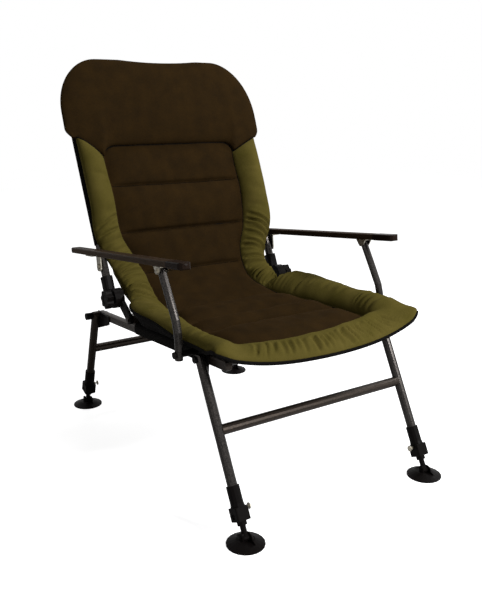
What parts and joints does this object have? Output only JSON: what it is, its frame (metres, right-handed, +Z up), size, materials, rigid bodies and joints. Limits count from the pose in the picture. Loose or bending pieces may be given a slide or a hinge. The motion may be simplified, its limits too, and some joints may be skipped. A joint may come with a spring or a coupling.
{
  "type": "folding reclining fishing chair",
  "caption": "Folding fishing chair: steel frame on telescopic legs with tilting mud feet, reclining quilted back with headrest, folding armrests.",
  "frame": {"origin": "on the ground, in the middle of the four feet", "axes": "X across the chair (+X is the right armrest seen from the front), -Y its front, +Z up"},
  "size_m": [0.6086, 0.936, 0.981],
  "materials": {
    "olive_microfibre": "peached woven polyester",
    "brown_fleece": "short-pile fleece",
    "black_cloth": "coarse woven polyester",
    "moulded_brown": "matt, grooved",
    "dark_cap": "half gloss",
    "zinc_steel": "zinc plated",
    "black_steel": "satin black",
    "black_plastic": "satin",
    "brown_hammered_steel": "hammered paint",
    "hammered_steel": "hammered paint"
  },
  "bodies": {
    "seat_frame": {"seat_front_tube": "hammered_steel", "seat_rear_tube": "hammered_steel", "seat_sling": "black_cloth", "seat_cushion": "brown_fleece", "lumbar_cushion": "olive_microfibre", "seat_rail_left": "brown_hammered_steel", "front_gusset_left": "black_steel", "rear_gusset_left": "black_steel", "rear_pivot_cap_left": "black_plastic", "recliner_base_left": "black_plastic", "seat_rail_right": "brown_hammered_steel", "front_gusset_right": "black_steel", "rear_gusset_right": "black_steel", "rear_pivot_cap_right": "black_plastic", "recliner_base_right": "black_plastic"},
    "backrest": {"back_top_tube": "hammered_steel", "back_panel": "black_cloth", "back_cushion": "brown_fleece", "headrest_cushion": "brown_fleece", "back_tube_left": "hammered_steel", "recliner_arm_left": "black_plastic", "back_tube_right": "hammered_steel", "recliner_arm_right": "black_plastic"},
    "arm_support_left": {"arm_support_left": "hammered_steel"},
    "armrest_left": {"armrest_plank_left": "moulded_brown", "armrest_front_cap_left": "dark_cap", "armrest_rear_cap_left": "dark_cap", "armrest_front_bracket_left": "zinc_steel", "armrest_rear_bracket_left": "zinc_steel"},
    "knob_left": {"recliner_knob_left": "black_plastic"},
    "arm_support_right": {"arm_support_right": "hammered_steel"},
    "armrest_right": {"armrest_plank_right": "moulded_brown", "armrest_front_cap_right": "dark_cap", "armrest_rear_cap_right": "dark_cap", "armrest_front_bracket_right": "zinc_steel", "armrest_rear_bracket_right": "zinc_steel"},
    "knob_right": {"recliner_knob_right": "black_plastic"},
    "front_legs": {"front_crossbar": "hammered_steel", "front_leg_left": "hammered_steel", "leg_lock_front_left": "black_plastic", "front_leg_right": "hammered_steel", "leg_lock_front_right": "black_plastic"},
    "leg_extension_front_left": {"leg_extension_front_left": "black_plastic"},
    "mud_foot_front_left": {"mud_foot_front_left": "black_plastic"},
    "lock_pin_front_left": {"lock_pin_front_left": "zinc_steel"},
    "leg_extension_front_right": {"leg_extension_front_right": "black_plastic"},
    "mud_foot_front_right": {"mud_foot_front_right": "black_plastic"},
    "lock_pin_front_right": {"lock_pin_front_right": "zinc_steel"},
    "rear_legs": {"rear_crossbar": "brown_hammered_steel", "rear_leg_left": "brown_hammered_steel", "leg_lock_rear_left": "black_plastic", "rear_leg_right": "brown_hammered_steel", "leg_lock_rear_right": "black_plastic"},
    "leg_extension_rear_left": {"leg_extension_rear_left": "black_plastic"},
    "mud_foot_rear_left": {"mud_foot_rear_left": "black_plastic"},
    "lock_pin_rear_left": {"lock_pin_rear_left": "zinc_steel"},
    "leg_extension_rear_right": {"leg_extension_rear_right": "black_plastic"},
    "mud_foot_rear_right": {"mud_foot_rear_right": "black_plastic"},
    "lock_pin_rear_right": {"lock_pin_rear_right": "zinc_steel"}
  },
  "joints": [
    {"name": "back_recline", "type": "hinge", "parent": "seat_frame", "child": "backrest", "pos_m": [0, 0.18, 0.38306], "axis": [1, 0, 0], "range_deg": [-20, 86], "deforming": ["lumbar_cushion"]},
    {"name": "arm_support_swing_left", "type": "hinge", "parent": "seat_frame", "child": "arm_support_left", "pos_m": [-0.29, -0.217, 0.35203], "axis": [1, 0, 0], "range_deg": [-12, 45]},
    {"name": "armrest_swing_left", "type": "hinge", "parent": "arm_support_left", "child": "armrest_left", "pos_m": [-0.29, -0.14804, 0.521], "axis": [1, 0, 0], "range_deg": [-45, 12]},
    {"name": "knob_turn_left", "type": "hinge", "parent": "seat_frame", "child": "knob_left", "pos_m": [-0.28, 0.18, 0.38306], "axis": [1, 0, 0], "range_deg": [0, 180]},
    {"name": "arm_support_swing_right", "type": "hinge", "parent": "seat_frame", "child": "arm_support_right", "pos_m": [0.29, -0.217, 0.35203], "axis": [1, 0, 0], "range_deg": [-12, 45]},
    {"name": "armrest_swing_right", "type": "hinge", "parent": "arm_support_right", "child": "armrest_right", "pos_m": [0.29, -0.14804, 0.521], "axis": [1, 0, 0], "range_deg": [-45, 12]},
    {"name": "knob_turn_right", "type": "hinge", "parent": "seat_frame", "child": "knob_right", "pos_m": [0.28, 0.18, 0.38306], "axis": [1, 0, 0], "range_deg": [0, 180]},
    {"name": "front_legs_fold", "type": "hinge", "parent": "seat_frame", "child": "front_legs", "pos_m": [0, -0.252, 0.34706], "axis": [1, 0, 0], "range_deg": [0, 92]},
    {"name": "leg_slide_front_left", "type": "slide", "parent": "front_legs", "child": "leg_extension_front_left", "axis": [0, 0.4651, 0.8852], "range_m": [-0.15, 0]},
    {"name": "foot_tilt_front_left", "type": "hinge", "parent": "leg_extension_front_left", "child": "mud_foot_front_left", "pos_m": [-0.2586, -0.427, 0.014], "axis": [1, 0, 0], "range_deg": [-25, 25]},
    {"name": "lock_pull_front_left", "type": "slide", "parent": "front_legs", "child": "lock_pin_front_left", "axis": [1, 0, 0], "range_m": [0, 0.008], "stiffness_N_per_m": 2500},
    {"name": "leg_slide_front_right", "type": "slide", "parent": "front_legs", "child": "leg_extension_front_right", "axis": [0, 0.4651, 0.8852], "range_m": [-0.15, 0]},
    {"name": "foot_tilt_front_right", "type": "hinge", "parent": "leg_extension_front_right", "child": "mud_foot_front_right", "pos_m": [0.2586, -0.427, 0.014], "axis": [1, 0, 0], "range_deg": [-25, 25]},
    {"name": "lock_pull_front_right", "type": "slide", "parent": "front_legs", "child": "lock_pin_front_right", "axis": [-1, 0, 0], "range_m": [0, 0.008], "stiffness_N_per_m": 2500},
    {"name": "rear_legs_fold", "type": "hinge", "parent": "seat_frame", "child": "rear_legs", "pos_m": [0, 0.326, 0.30107], "axis": [-1, 0, 0], "range_deg": [0, 65]},
    {"name": "leg_slide_rear_left", "type": "slide", "parent": "rear_legs", "child": "leg_extension_rear_left", "axis": [0, -0.3319, 0.9433], "range_m": [-0.15, 0]},
    {"name": "foot_tilt_rear_left", "type": "hinge", "parent": "leg_extension_rear_left", "child": "mud_foot_rear_left", "pos_m": [-0.2586, 0.427, 0.014], "axis": [1, 0, 0], "range_deg": [-25, 25]},
    {"name": "lock_pull_rear_left", "type": "slide", "parent": "rear_legs", "child": "lock_pin_rear_left", "axis": [1, 0, 0], "range_m": [0, 0.008], "stiffness_N_per_m": 2500},
    {"name": "leg_slide_rear_right", "type": "slide", "parent": "rear_legs", "child": "leg_extension_rear_right", "axis": [0, -0.3319, 0.9433], "range_m": [-0.15, 0]},
    {"name": "foot_tilt_rear_right", "type": "hinge", "parent": "leg_extension_rear_right", "child": "mud_foot_rear_right", "pos_m": [0.2586, 0.427, 0.014], "axis": [1, 0, 0], "range_deg": [-25, 25]},
    {"name": "lock_pull_rear_right", "type": "slide", "parent": "rear_legs", "child": "lock_pin_rear_right", "axis": [-1, 0, 0], "range_m": [0, 0.008], "stiffness_N_per_m": 2500}
  ],
  "couplings": [
    {"joint": "arm_support_swing_left", "follows": "back_recline", "ratio": 0.503},
    {"joint": "armrest_swing_left", "follows": "back_recline", "ratio": -0.501},
    {"joint": "arm_support_swing_right", "follows": "back_recline", "ratio": 0.503},
    {"joint": "armrest_swing_right", "follows": "back_recline", "ratio": -0.501}
  ]
}
